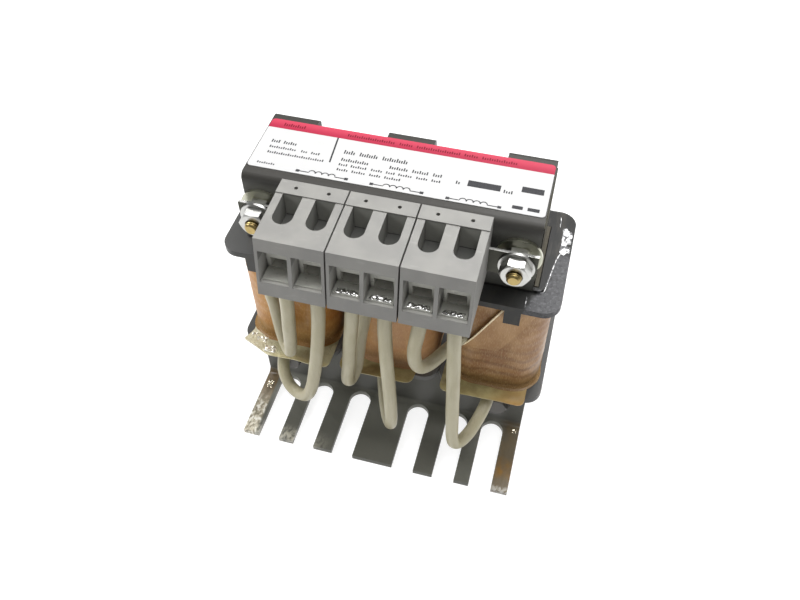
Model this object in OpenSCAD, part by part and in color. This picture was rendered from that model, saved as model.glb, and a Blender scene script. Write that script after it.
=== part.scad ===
// Three-phase open line reactor: a laminated core with three coils on moulded bobbins, clamped
// between formed brackets, with feed-through terminal blocks on a rail in front of the top bracket.
// X runs to the right, the terminals face -Y, Z is up, and the feet stand on z = 0.

/* [Core] */
// Distance between the centres of neighbouring legs
leg_pitch = 42.8; // [41:0.2:48]
// Width of each leg
leg_w = 24; // [20:0.5:26]
// Depth of the lamination stack, front to back
stack_d = 31; // [26:0.5:36]
// Height of each yoke
yoke_h = 29; // [26:0.5:34]
// Inset of the upper yoke's ends from the outer sides of the legs
yoke_inset = 1.4; // [0:0.1:2.5]
// Length of the legs between the yokes, without the air gap
leg_l = 58; // [54:0.5:66]
// Thickness of the spacers in the air gaps
gap_t = 2; // [1.5:0.1:3]
// Height of the core above the floor
core_lift = 4; // [3:0.5:8]

/* [Bobbins and coils] */
// Play between a leg and the bobbin around it
bobbin_play = 0.3; // [0.2:0.05:0.5]
// Wall of a bobbin's hub
hub_wall = 1.6; // [1:0.1:2.2]
// Outer corner radius of a hub
hub_r = 2; // [1:0.1:3]
// Height of the hub's rim above the upper flange
hub_rim = 1.3; // [0.6:0.1:2]
// Thickness of the bobbin flanges
flange_t = 2.7; // [1.5:0.1:3.5]
// Depth of the bobbin flanges, front to back
flange_d = 52; // [50:0.5:64]
// Corner radius of the bobbin flanges
flange_r = 6.5; // [3:0.5:9]
// Gap between neighbouring flanges
flange_gap = 0.3; // [0.2:0.1:1]
// Width of the tongue on the front of an upper flange
tongue_w = 6; // [4:0.5:8]
// Drop of the tongue below the upper flange
tongue_drop = 7; // [4:0.5:12]
// Thickness of the tongue
tongue_t = 1.6; // [1:0.1:2.2]
// Offset of the tongue from the middle of the middle and right bobbins
tongue_x = 5; // [0:0.5:8]
// Offset of the tongue from the middle of the left bobbin, to the left
left_tongue_x = 8.2; // [0:0.1:11]
// Build of the winding on the hub
winding_t = 4.3; // [3:0.1:5]
// Thickness of the coil's outer wrap
wrap_t = 0.8; // [0.4:0.1:1.2]
// Corner radius of the wrapped coil
coil_r = 12; // [8:0.5:14]
// Thickness of the insulation collar under a coil
collar_t = 0.4; // [0.3:0.05:0.8]
// Reach of the collar past the front and rear edges of its flange
collar_reach = 5; // [1:0.5:7]
// Inset of the collar from the sides of its flange
collar_inset = 1.7; // [0.5:0.1:4]
// Corner radius of the collar
collar_r = 9; // [4:0.5:12]

/* [Brackets] */
// Sheet thickness of the brackets
sheet_t = 2.5; // [1.5:0.1:3]
// Reach of the top bracket past the middle of its bolts
bolt_land = 6.5; // [5:0.1:8]
// Width of a bend tab at the rear of the top bracket
bend_tab_w = 17.5; // [14:0.5:22]
// Height of the slots between the bend tabs, below the bracket's top
bend_slot_h = 6; // [4:0.5:8]
// Reach of those slots into the bracket's top
bend_slot_in = 2; // [0.5:0.1:2]
// Reach of the foot brackets past the ends of the core
foot_over = 4; // [2:0.2:8]
// Reach of the feet in front of and behind the middle of the part
foot_reach = 51.5; // [46:0.5:60]
// Outside bend radius of the foot brackets
foot_bend_r = 5; // [4:0.5:7]
// Height of the foot brackets' walls
foot_wall_h = 31; // [28:0.5:32]
// Width of the foot slots
slot_w = 9.5; // [6:0.5:10]
// Distance of a slot's closed end from the wall
slot_land = 1.2; // [0.5:0.1:4]
// Place of the inner slots, from the middle
slot_x_inner = 13.5; // [12:0.25:15]
// Place of the middle slots, from the middle
slot_x_middle = 31.25; // [30:0.25:33]
// Place of the outer slots, from the middle
slot_x_outer = 47.1; // [46:0.1:49]
// Thickness of the rating label
label_t = 0.25; // [0.1:0.05:0.5]
// Border of bare metal at the ends of the label
label_end = 0.4; // [0.2:0.1:3]
// Depth of the label, front to back
label_d = 26.7; // [22:0.1:28]
// Corner radius of the label
label_r = 1.5; // [0.5:0.1:4]

/* [Bolts] */
// Diameter of the clamp bolts
bolt_d = 4.83; // [4:0.01:5]
// Clearance around a bolt in its holes, on the diameter
bolt_play = 0.5; // [0.3:0.1:1]
// Clearance around a bolt in its nuts and washers, on the diameter
nut_play = 0.2; // [0.1:0.05:0.4]
// Distance from the row of terminal blocks to the middle of a bolt
bolt_clear = 9.92; // [9:0.02:11]
// Height of the upper bolts above the underside of the upper yoke
upper_bolt_rise = 17.2; // [14:0.1:18]
// Height of the lower bolts above the underside of the lower yoke
lower_bolt_rise = 14.5; // [12:0.1:17]
// Width across flats of nuts and bolt heads
nut_af = 9.525; // [8:0.005:10]
// Thickness of an outer nut
nut_h = 4.2; // [3:0.1:5]
// Thickness of an inner nut between washer and rail
jam_nut_h = 2.8; // [2.4:0.1:4]
// Height of a bolt head
head_h = 3.2; // [2.5:0.1:4]
// Bolt length past the outer nut
bolt_tail = 2.2; // [1.2:0.1:4]
// Height of the bevel on the corners of nuts and bolt heads
nut_bevel = 0.5; // [0.2:0.05:0.7]
// Bevel at the tip of a bolt
tip_bevel = 0.6; // [0.3:0.05:1]
// Countersink at both ends of a nut's thread
nut_sink = 0.4; // [0.2:0.05:0.6]
// Outside diameter of the small washers
washer_d = 12.7; // [10:0.1:13]
// Thickness of the small washers
washer_t = 1; // [0.6:0.1:1.6]
// Outside diameter of the wide washers on the top bracket
wide_washer_d = 16.2; // [14:0.1:17]
// Thickness of the wide washers
wide_washer_t = 1.2; // [0.8:0.1:2]

/* [Terminals] */
// Reach of the terminal rail past the ends of the top bracket
rail_over = 0.4; // [0:0.1:3]
// Height of the terminal rail
rail_h = 10.8; // [9:0.1:12]
// Thickness of the terminal rail
rail_t = 1.2; // [1:0.1:1.6]
// Clearance between the rail and the groove in a block
rail_play = 0.15; // [0.1:0.05:0.3]
// Width of a terminal block
block_w = 24; // [23.5:0.1:25]
// Gap between neighbouring blocks
block_gap = 0.58; // [0.2:0.02:0.8]
// Height of a block
block_h = 24.5; // [24:0.1:26]
// Height of the rail's middle above the base of a block
block_drop = 7.7; // [7.5:0.1:8.5]
// Reach of a block in front of the rail at its base
block_front = 27.9; // [27:0.1:30]
// Backward lean of a block's front, from base to top
block_lean = 3.8; // [2:0.1:5]
// Reach of a block behind the front of the rail
block_back = 3.7; // [3.4:0.1:4]
// Depth of the level strip along the rear of a block's top
strip_d = 6.5; // [5:0.1:7.5]
// Step from that strip down to the screw field
strip_step = 0.4; // [0.2:0.1:1]
// Fall of the screw field towards the front
field_fall = 0.6; // [0.2:0.1:1.5]
// Height of the hooks that hold a block behind the rail
hook_h = 2; // [1.5:0.1:3]
// Distance between the two poles of a block
pole_pitch = 11.6; // [11.2:0.1:12]
// Width of a wire chamber
chamber_w = 9.4; // [8.8:0.1:9.8]
// Height of a wire chamber
chamber_h = 8.2; // [7.8:0.1:8.8]
// Height of the chamber floor above the block's base
chamber_floor = 5.5; // [4:0.1:6]
// Distance from the front of the rail to the back of a wire chamber
chamber_back = 8; // [7:0.1:9]
// Width of the wire mouth in front of a chamber
mouth_w = 10.2; // [9.8:0.1:10.6]
// Rise of the mouth's ceiling above the chamber
mouth_rise = 4.8; // [3:0.1:5.2]
// Depth of the mouth at the top of a block's front
mouth_d = 4.5; // [2:0.1:6]
// Width of a screw opening
screw_slot_w = 7; // [6.6:0.1:7.5]
// Length of a screw opening
screw_slot_l = 13.5; // [12:0.1:15]
// Thickness of the ceiling between chamber and screw opening
ceiling_t = 1; // [0.8:0.1:2]
// Diameter of the test holes in the rear strip
test_hole_d = 1.4; // [1:0.1:2]
// Depth of the test holes
test_hole_l = 4; // [2:0.5:6]
// Clearance around a clamp cage in its chamber
cage_play = 0.2; // [0.1:0.05:0.3]
// Wall of a clamp cage
cage_wall = 1.2; // [0.8:0.1:1.3]
// Thickness of the cage's threaded top
cage_top = 2.2; // [1.6:0.1:2.6]
// Length of a clamp cage
cage_l = 12; // [11:0.1:13]
// Length of the cage's lip towards the wire entry
cage_lip = 5.5; // [2:0.1:5.8]
// Thickness of the cage's lip
lip_t = 0.8; // [0.5:0.1:1.2]
// Diameter of a terminal screw
screw_d = 4; // [3:0.1:4.5]
// Clearance around a terminal screw, on the diameter
screw_play = 0.4; // [0.2:0.05:0.6]
// Head diameter of a terminal screw
screw_head_d = 6.2; // [5.5:0.1:6.4]
// Head height of a terminal screw
screw_head_h = 2.2; // [1.6:0.1:3]
// Width of the driver slot in a terminal screw
driver_slot_w = 1; // [0.6:0.1:1.4]
// Depth of the driver slot
driver_slot_h = 1.1; // [0.6:0.1:1.4]

/* [Leads] */
// Outside diameter of a sleeved coil lead
lead_d = 5.2; // [4:0.1:5.4]
// Clearance around a lead in the holes it passes, on the diameter
lead_play = 0.6; // [0.3:0.1:1]

/* [Hidden] */
$fn = 64;
cut = 1;

// Heights of the core, from the floor up
z_core = core_lift;
z_legs = z_core + yoke_h;
z_leg_top = z_legs + leg_l;
z_yoke = z_leg_top + gap_t;
z_web = z_yoke + yoke_h;
z_top = z_web + sheet_t;
core_half = leg_pitch + leg_w / 2;
yoke_half = core_half - yoke_inset;
stack_half = stack_d / 2;
wall_face = stack_half + sheet_t;

// Bobbin and coil sizes, worked outwards from the leg, with the most that a winding builds up at a corner
// against its build on the flats
hub_in = [leg_w + 2 * bobbin_play, stack_d + 2 * bobbin_play];
hub_out = hub_in + 2 * [hub_wall, hub_wall];
winding_out = hub_out + 2 * [winding_t, winding_t];
wrap_out = winding_out + 2 * [wrap_t, wrap_t];
corner_build = 2.2;
winding_r = min(coil_r - wrap_t, hub_r + corner_build * winding_t);
wrap_r = winding_r + wrap_t;
flange_w = leg_pitch - flange_gap;
rim_play = 0.2;
z_rim = z_yoke - rim_play;
z_flange_top = z_rim - hub_rim;
z_flange = z_flange_top - flange_t;
z_collar = z_legs + flange_t;
z_coil = z_collar + collar_t;
coil_h = z_flange - z_coil;

// Widths across the part, worked outwards from the row of three terminal blocks and from the core
block_pitch = block_w + block_gap;
bolt_x = block_pitch + block_w / 2 + bolt_clear;
bracket_w = 2 * (bolt_x + bolt_land);
rail_w = bracket_w + 2 * rail_over;
foot_w = 2 * (core_half + foot_over);

// Stack of washers, nuts and rail in front of the top bracket
z_bolt = z_yoke + upper_bolt_rise;
z_low_bolt = z_core + lower_bolt_rise;
y_jam_nut = wall_face + wide_washer_t;
y_rail = y_jam_nut + jam_nut_h;
y_rail_front = y_rail + rail_t;
y_outer_nut = y_rail_front + washer_t;
y_bolt_end = y_outer_nut + nut_h + bolt_tail;
y_low_nut = wall_face + washer_t;

// Terminal block levels and places
z_block = z_bolt - block_drop;
z_block_top = z_block + block_h;
z_chamber = z_block + chamber_floor;
z_chamber_top = z_chamber + chamber_h;
z_screw_seat = z_chamber_top + ceiling_t;
cage_w = chamber_w - 2 * cage_play;
cage_h = chamber_h - 2 * cage_play;
z_cage_top = z_chamber + cage_h;
y_ridge = y_rail_front - block_back + strip_d;
y_screw = y_ridge + screw_slot_l - screw_slot_w / 2;
y_chamber_back = y_rail_front + chamber_back;
y_lead = 43.5;

// Routes of the leads from the terminal clamp to the coil
route_1 = [
    [-30.4, -43.5, 108], [-30.4, -43.5, 98], [-30.8, -43.3, 88], [-32.2, -42, 76], [-34.2, -39.5, 62],
    [-36.4, -36.5, 51], [-38.6, -33.5, 45], [-41.2, -30.5, 43.5], [-43.4, -28, 46], [-44.8, -26.6, 54],
    [-45.2, -26.4, 64], [-45.4, -27.2, 72], [-45.4, -26.6, 76.6], [-45.4, -24.9, 78.6], [-45.4, -22.6, 78.6]
];
route_2 = [
    [-18.8, -43.5, 108], [-18.8, -43.5, 98], [-19, -43.6, 88], [-20.3, -43.8, 74], [-23, -43, 56],
    [-27, -41.5, 36], [-31, -39.5, 24], [-36, -37, 19], [-41, -34.5, 19.5], [-44.4, -31.5, 24],
    [-46, -27, 27.2], [-46.2, -23.6, 29.6], [-46.2, -22.4, 32.6], [-46.2, -22.4, 35.4]
];
route_3 = [
    [-5.8, -43.5, 108], [-5.8, -43.5, 98], [-6.6, -43.4, 88], [-8.6, -42, 72], [-10.6, -40, 56],
    [-12.4, -38.2, 44], [-13, -36.6, 38], [-12.4, -34.4, 36.4], [-11.2, -31.4, 39.5], [-10.8, -28.6, 45],
    [-10, -26.8, 55], [-8.2, -26.4, 66], [-7, -27, 72.5], [-6.4, -26.4, 76.4], [-6, -24.9, 78.4],
    [-6, -22.6, 78.4]
];
route_4 = [
    [5.8, -43.5, 108], [5.8, -43.5, 98], [5.9, -44.5, 86], [6.3, -45, 70], [6.9, -44.6, 50],
    [7, -43.6, 34], [6.5, -42.2, 22.6], [5.2, -39.6, 16.6], [3.2, -36.4, 16], [1.2, -32.6, 20.4],
    [-0.6, -28, 26], [-1.9, -24.2, 29.4], [-2.6, -22.4, 32.6], [-2.6, -22.4, 35.4]
];
route_5 = [
    [18.8, -43.5, 108], [18.8, -43.5, 98], [17.8, -44.6, 90], [16.6, -44.4, 80], [16.6, -42.8, 70],
    [18, -40, 63.5], [20.2, -36.6, 61], [22.6, -33, 61], [25, -29.6, 62], [27.2, -27, 63.2],
    [29.2, -24.2, 64], [30.5, -21.5, 64]
];
route_6 = [
    [30.4, -43.5, 108], [30.4, -43.5, 98], [30.8, -44.6, 88], [31.4, -45, 72], [31.8, -44.6, 54],
    [32.2, -44, 36], [32.7, -43.4, 23], [33.8, -42.4, 17.6], [36, -40.6, 17], [38.8, -37.6, 20.5],
    [41.4, -33, 25.6], [43, -27.6, 28.2], [43.4, -23.9, 29.9], [43.4, -22.4, 32.6], [43.4, -22.4, 35.4]
];
lead_sides = 10;

// Flat outline with rounded corners, centred on the origin
module rounded_rect(size, r) {
    square([size[0] - 2 * r, size[1]], center = true);
    square([size[0], size[1] - 2 * r], center = true);
    for (x = [-1, 1], y = [-1, 1])
        translate([x * (size[0] / 2 - r), y * (size[1] / 2 - r)])
            circle(r);
}

// Outline given in (y towards the front, z), extruded along X and centred
module extrude_x(width) {
    translate([-width / 2, 0, 0])
        rotate([90, 0, 90])
            linear_extrude(width)
                mirror([1, 0])
                    children();
}

// Round hole or rod along Y, from one distance in front of the middle plane to another
module rod_y(d, from, to) {
    translate([0, -from, 0])
        rotate([90, 0, 0])
            cylinder(d = d, h = to - from);
}

// Hexagon along Y with a flat on top, its corners bevelled at both ends
module hex_y(from, to) {
    h = to - from;
    corner = nut_af / cos(30) / 2;
    face = corner - nut_bevel / tan(30);
    translate([0, -from, 0])
        rotate([90, 0, 0])
            intersection() {
                cylinder(r = corner, h = h, $fn = 6);
                rotate_extrude()
                    polygon([
                        [0, 0], [face, 0], [corner, nut_bevel],
                        [corner, h - nut_bevel], [face, h], [0, h]
                    ]);
            }
}

// Bolt shank along Y, bevelled at its far end
module shank_y(from, to) {
    rotate([90, 0, 0])
        rotate_extrude()
            polygon([
                [0, from], [bolt_d / 2, from], [bolt_d / 2, to - tip_bevel],
                [bolt_d / 2 - tip_bevel, to], [0, to]
            ]);
}

module at_bolts(z) {
    for (side = [-1, 1])
        translate([side * bolt_x, 0, z])
            children();
}

module washers(d, from, to) {
    difference() {
        rod_y(d, from, to);
        rod_y(bolt_d + nut_play, from - cut, to + cut);
    }
}

// Nut with its thread countersunk at both ends
module nut(from, to) {
    bore = (bolt_d + nut_play) / 2;
    difference() {
        hex_y(from, to);
        rod_y(2 * bore, from - cut, to + cut);
        translate([0, -from, 0])
            rotate([90, 0, 0]) {
                cylinder(r1 = bore + nut_sink, r2 = bore, h = nut_sink);
                translate([0, 0, to - from - nut_sink])
                    cylinder(r1 = bore, r2 = bore + nut_sink, h = nut_sink);
            }
    }
}

module bolt_holes(z) {
    at_bolts(z)
        rod_y(bolt_d + bolt_play, -foot_reach, foot_reach);
}

// Laminated lower yoke with its three legs
module core_e_stack() {
    color("dimgray")
        difference() {
            translate([0, stack_half, 0])
                rotate([90, 0, 0])
                    linear_extrude(stack_d) {
                        translate([-core_half, z_core])
                            square([2 * core_half, yoke_h]);
                        for (i = [-1, 0, 1])
                            translate([i * leg_pitch - leg_w / 2, z_legs - cut])
                                square([leg_w, leg_l + cut]);
                    }
            bolt_holes(z_low_bolt);
        }
}

// Laminated bar across the tops of the legs
module upper_yoke() {
    color("dimgray")
        difference() {
            translate([-yoke_half, -stack_half, z_yoke])
                cube([2 * yoke_half, stack_d, yoke_h]);
            bolt_holes(z_bolt);
        }
}

// Fibre spacer in the air gap above a leg
module gap_spacer(i) {
    color("peru")
        translate([i * leg_pitch - leg_w / 2, -stack_half, z_leg_top])
            cube([leg_w, stack_d, gap_t]);
}

// Moulded bobbin: a hub with two flanges, a tongue on the upper one and a hole in the lower one
// where the start lead comes up
module bobbin(i, start_lead, tongue_at) {
    lead_end = start_lead[len(start_lead) - 1];
    color([0.16, 0.16, 0.16])
        difference() {
            translate([i * leg_pitch, 0, 0]) {
                translate([0, 0, z_legs])
                    linear_extrude(z_rim - z_legs)
                        rounded_rect(hub_out, hub_r);
                for (z = [z_legs, z_flange])
                    translate([0, 0, z])
                        linear_extrude(flange_t)
                            rounded_rect([flange_w, flange_d], flange_r);
                translate([tongue_at - tongue_w / 2, -flange_d / 2, z_flange - tongue_drop])
                    cube([tongue_w, tongue_t, tongue_drop + flange_t / 2]);
            }
            translate([i * leg_pitch - hub_in[0] / 2, -hub_in[1] / 2, z_legs - cut])
                cube([hub_in[0], hub_in[1], z_rim - z_legs + 2 * cut]);
            translate([lead_end[0], lead_end[1], z_legs - cut])
                cylinder(d = lead_d + lead_play, h = flange_t + 2 * cut);
        }
}

// Turns of enamelled wire on a hub, as one body
module winding(i) {
    color("chocolate")
        translate([i * leg_pitch, 0, z_coil])
            linear_extrude(coil_h)
                difference() {
                    rounded_rect(winding_out, winding_r);
                    rounded_rect(hub_out, hub_r);
                }
}

// Varnished wrap round a winding
module coil_wrap(i) {
    color("peru")
        translate([i * leg_pitch, 0, z_coil])
            linear_extrude(coil_h)
                difference() {
                    rounded_rect(wrap_out, wrap_r);
                    rounded_rect(winding_out, winding_r);
                }
}

// Sheet of insulation between a lower flange and its coil, reaching past the flange
module insulation_collar(i) {
    color("darkkhaki")
        translate([i * leg_pitch, 0, z_collar])
            linear_extrude(collar_t)
                difference() {
                    rounded_rect([flange_w - 2 * collar_inset, flange_d + 2 * collar_reach], collar_r);
                    rounded_rect(hub_out, hub_r);
                }
}

// Section of the top bracket, with its two outer corners rounded
module top_bracket_section() {
    difference() {
        union() {
            translate([-wall_face, z_yoke])
                square([2 * wall_face, yoke_h]);
            translate([-stack_half, z_web])
                square([stack_d, sheet_t]);
            for (side = [-1, 1])
                translate([side * stack_half, z_web])
                    circle(sheet_t);
        }
        translate([-stack_half, z_yoke - cut])
            square([stack_d, yoke_h + cut]);
    }
}

// Channel over the upper yoke: three tabs and two slots make up the length of its rear bend
module top_bracket() {
    slot_l = (bracket_w - 3 * bend_tab_w) / 2;
    slot_middle = (bend_tab_w + slot_l) / 2;
    color([0.2, 0.2, 0.19])
        difference() {
            extrude_x(bracket_w)
                top_bracket_section();
            for (side = [-1, 1])
                translate([side * slot_middle - slot_l / 2, stack_half - bend_slot_in, z_top - bend_slot_h])
                    cube([slot_l, bend_slot_in + sheet_t + cut, bend_slot_h + cut]);
            bolt_holes(z_bolt);
        }
}

// Plain label stuck on the top bracket
module rating_label() {
    color("white")
        translate([0, 0, z_top])
            linear_extrude(label_t)
                rounded_rect([bracket_w - 2 * label_end, label_d], label_r);
}

// Section of a foot bracket: wall, bend and foot
module foot_section() {
    bend_at = [stack_half + foot_bend_r, foot_bend_r];
    translate([stack_half, foot_bend_r])
        square([sheet_t, foot_wall_h - foot_bend_r]);
    translate([bend_at[0], 0])
        square([foot_reach - bend_at[0], sheet_t]);
    intersection() {
        translate(bend_at)
            difference() {
                circle(foot_bend_r);
                circle(foot_bend_r - sheet_t);
            }
        translate([stack_half, 0])
            square([foot_bend_r, foot_bend_r]);
    }
}

// Angle bracket that clamps the lower yoke, its foot slotted into a comb for the floor screws
module foot_bracket() {
    slot_end = wall_face + slot_land + slot_w / 2;
    color([0.2, 0.19, 0.18])
        difference() {
            extrude_x(foot_w)
                foot_section();
            for (side = [-1, 1], x = [slot_x_inner, slot_x_middle, slot_x_outer])
                translate([side * x, 0, -cut]) {
                    translate([0, -slot_end, 0])
                        cylinder(d = slot_w, h = foot_bend_r + 2 * cut);
                    translate([-slot_w / 2, -foot_reach - cut, 0])
                        cube([slot_w, foot_reach + cut - slot_end, foot_bend_r + 2 * cut]);
                }
            bolt_holes(z_low_bolt);
        }
}

module front_foot_bracket() {
    foot_bracket();
}

module rear_foot_bracket() {
    mirror([0, 1, 0])
        foot_bracket();
}

// Plated strip that carries the terminal blocks
module terminal_rail() {
    color("silver")
        difference() {
            translate([-rail_w / 2, -y_rail_front, z_bolt - rail_h / 2])
                cube([rail_w, rail_t, rail_h]);
            at_bolts(z_bolt)
                rod_y(bolt_d + bolt_play, y_rail - cut, y_rail_front + cut);
        }
}

// Section of a terminal block, with the groove that hooks over the rail
module block_section() {
    back = y_rail_front - block_back;
    base = y_rail_front + block_front;
    z_field = z_block_top - strip_step;
    groove = [y_rail - rail_play, y_rail_front + rail_play];
    z_groove = [z_bolt - rail_h / 2 - rail_play, z_bolt + rail_h / 2 + rail_play];
    polygon([
        [back, z_block], [base, z_block], [base - block_lean, z_field - field_fall],
        [y_ridge, z_field], [y_ridge, z_block_top], [back, z_block_top],
        [back, z_groove[1] - hook_h], [groove[0], z_groove[1] - hook_h], [groove[0], z_groove[1]],
        [groove[1], z_groove[1]], [groove[1], z_groove[0]], [groove[0], z_groove[0]],
        [groove[0], z_groove[0] + hook_h], [back, z_groove[0] + hook_h]
    ]);
}

// Section of a wire mouth: open to the front, its ceiling sloping down to the chamber behind
module mouth_section() {
    front = y_rail_front + block_front + cut;
    face = y_rail_front + block_front - block_lean;
    polygon([
        [face - mouth_d, z_chamber], [front, z_chamber], [front, z_chamber_top + mouth_rise],
        [face, z_chamber_top + mouth_rise], [face - mouth_d, z_chamber_top]
    ]);
}

// Hollows of one pole: wire chamber and mouth, screw opening, screw hole, lead hole and test hole
module pole_hollows() {
    translate([-chamber_w / 2, -y_rail_front - block_front, z_chamber])
        cube([chamber_w, y_rail_front + block_front - y_chamber_back, chamber_h]);
    extrude_x(mouth_w)
        mouth_section();
    translate([0, -y_screw, z_screw_seat]) {
        cylinder(d = screw_slot_w, h = block_h);
        translate([-screw_slot_w / 2, 0, 0])
            cube([screw_slot_w, y_screw - y_ridge, block_h]);
    }
    translate([0, -y_screw, z_chamber_top - cut])
        cylinder(d = screw_d + screw_play, h = ceiling_t + 2 * cut);
    translate([0, -y_lead, z_block - cut])
        cylinder(d = lead_d + lead_play, h = chamber_floor + 2 * cut);
    translate([0, -y_ridge + strip_d / 2, z_block_top - test_hole_l])
        cylinder(d = test_hole_d, h = test_hole_l + cut);
}

module at_poles(i) {
    for (side = [-1, 1])
        translate([i * block_pitch + side * pole_pitch / 2, 0, 0])
            children();
}

// Moulded two-pole block hooked on the rail
module terminal_block(i) {
    color([0.62, 0.62, 0.62])
        difference() {
            translate([i * block_pitch, 0, 0])
                extrude_x(block_w)
                    block_section();
            at_poles(i)
                pole_hollows();
        }
}

// Metal cage that a screw draws onto the wire, with a lip towards the wire entry
module clamp_cages(i) {
    y_front = y_chamber_back + cage_play + cage_l;
    color("gainsboro")
        at_poles(i)
            difference() {
                union() {
                    translate([-cage_w / 2, -y_front, z_chamber])
                        cube([cage_w, cage_l, cage_h]);
                    translate([-cage_w / 2, -y_front - cage_lip, z_chamber])
                        cube([cage_w, cage_lip + cut, lip_t]);
                }
                translate([-cage_w / 2 + cage_wall, -y_front - cut, z_chamber + cage_wall])
                    cube([cage_w - 2 * cage_wall, cage_l + 2 * cut, cage_h - cage_wall - cage_top]);
                translate([0, -y_screw, z_cage_top - cage_top - cut])
                    cylinder(d = screw_d + nut_play, h = cage_top + 2 * cut);
            }
}

// Slotted screws of the terminal clamps
module terminal_screws() {
    z_tip = z_cage_top - cage_top;
    z_slot = z_screw_seat + screw_head_h - driver_slot_h;
    color("darkgray")
        for (i = [-1, 0, 1])
            at_poles(i)
                translate([0, -y_screw, 0])
                    difference() {
                        union() {
                            translate([0, 0, z_tip])
                                cylinder(d = screw_d, h = z_screw_seat - z_tip + cut);
                            translate([0, 0, z_screw_seat])
                                cylinder(d = screw_head_d, h = screw_head_h);
                        }
                        translate([-screw_head_d, -driver_slot_w / 2, z_slot])
                            cube([2 * screw_head_d, driver_slot_w, driver_slot_h + cut]);
                    }
}

// Direction of a route at one of its points
function unit(v) = v / norm(v);
function heading(route, k) = unit(route[min(k + 1, len(route) - 1)] - route[max(k - 1, 0)]);

// A side vector carried along the route, so that the tube doesn't twist
function carry(route, k) =
    k == 0
        ? unit(cross(heading(route, 0), [1, 0, 0]))
        : let (side = carry(route, k - 1), h = heading(route, k)) unit(side - (side * h) * h);

function ring(route, k) =
    let (side = carry(route, k), other = cross(heading(route, k), side))
    [for (a = [0:lead_sides - 1])
        route[k] + lead_d / 2 * (cos(a * 360 / lead_sides) * side + sin(a * 360 / lead_sides) * other)];

// Sleeved lead swept along its route
module lead(route) {
    last = len(route) - 1;
    points = [for (k = [0:last]) each ring(route, k)];
    walls = [
        for (k = [0:last - 1], a = [0:lead_sides - 1])
            let (b = (a + 1) % lead_sides, low = k * lead_sides, high = low + lead_sides)
                [low + a, high + a, high + b, low + b]
    ];
    start_cap = [for (a = [0:lead_sides - 1]) a];
    end_cap = [for (a = [lead_sides - 1:-1:0]) last * lead_sides + a];
    color("antiquewhite")
        polyhedron(points, concat([start_cap, end_cap], walls), convexity = 6);
}

// Through bolts of the upper yoke: heads behind, long ends in front for the rail
module upper_clamp_bolts() {
    color("darkgoldenrod")
        at_bolts(z_bolt) {
            shank_y(-wall_face - washer_t - cut, y_bolt_end);
            hex_y(-wall_face - washer_t - head_h, -wall_face - washer_t);
        }
}

module upper_head_washers() {
    color("silver")
        at_bolts(z_bolt)
            washers(washer_d, -wall_face - washer_t, -wall_face);
}

module bracket_washers() {
    color("silver")
        at_bolts(z_bolt)
            washers(wide_washer_d, wall_face, y_jam_nut);
}

module inner_nuts() {
    color("silver")
        at_bolts(z_bolt)
            nut(y_jam_nut, y_rail);
}

module rail_washers() {
    color("silver")
        at_bolts(z_bolt)
            washers(washer_d, y_rail_front, y_outer_nut);
}

module outer_nuts() {
    color("silver")
        at_bolts(z_bolt)
            nut(y_outer_nut, y_outer_nut + nut_h);
}

// Through bolts of the lower yoke: heads in front, nuts behind
module lower_clamp_bolts() {
    color([0.2, 0.2, 0.19])
        at_bolts(z_low_bolt) {
            mirror([0, 1, 0])
                shank_y(-y_low_nut - cut, y_low_nut + nut_h + bolt_tail);
            hex_y(y_low_nut, y_low_nut + head_h);
        }
}

module lower_washers() {
    color([0.2, 0.2, 0.19])
        at_bolts(z_low_bolt) {
            washers(washer_d, wall_face, y_low_nut);
            washers(washer_d, -y_low_nut, -wall_face);
        }
}

module lower_nuts() {
    color([0.2, 0.2, 0.19])
        at_bolts(z_low_bolt)
            nut(-y_low_nut - nut_h, -y_low_nut);
}

core_e_stack();
upper_yoke();
gap_spacer(-1);  // gap_spacer_left
gap_spacer(0);  // gap_spacer_middle
gap_spacer(1);  // gap_spacer_right
bobbin(-1, route_2, -left_tongue_x);  // bobbin_left
bobbin(0, route_4, tongue_x);  // bobbin_middle
bobbin(1, route_6, tongue_x);  // bobbin_right
winding(-1);  // winding_left
winding(0);  // winding_middle
winding(1);  // winding_right
coil_wrap(-1);  // coil_wrap_left
coil_wrap(0);  // coil_wrap_middle
coil_wrap(1);  // coil_wrap_right
insulation_collar(-1);  // insulation_collar_left
insulation_collar(0);  // insulation_collar_middle
insulation_collar(1);  // insulation_collar_right
top_bracket();
rating_label();
front_foot_bracket();
rear_foot_bracket();
terminal_rail();
terminal_block(-1);  // terminal_block_left
terminal_block(0);  // terminal_block_middle
terminal_block(1);  // terminal_block_right
clamp_cages(-1);  // clamp_cages_left
clamp_cages(0);  // clamp_cages_middle
clamp_cages(1);  // clamp_cages_right
terminal_screws();
lead(route_1);  // lead_1
lead(route_2);  // lead_2
lead(route_3);  // lead_3
lead(route_4);  // lead_4
lead(route_5);  // lead_5
lead(route_6);  // lead_6
upper_clamp_bolts();
upper_head_washers();
bracket_washers();
inner_nuts();
rail_washers();
outer_nuts();
lower_clamp_bolts();
lower_washers();
lower_nuts();
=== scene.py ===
import math

import bmesh
import bpy
from mathutils import Matrix, Vector, noise


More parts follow.
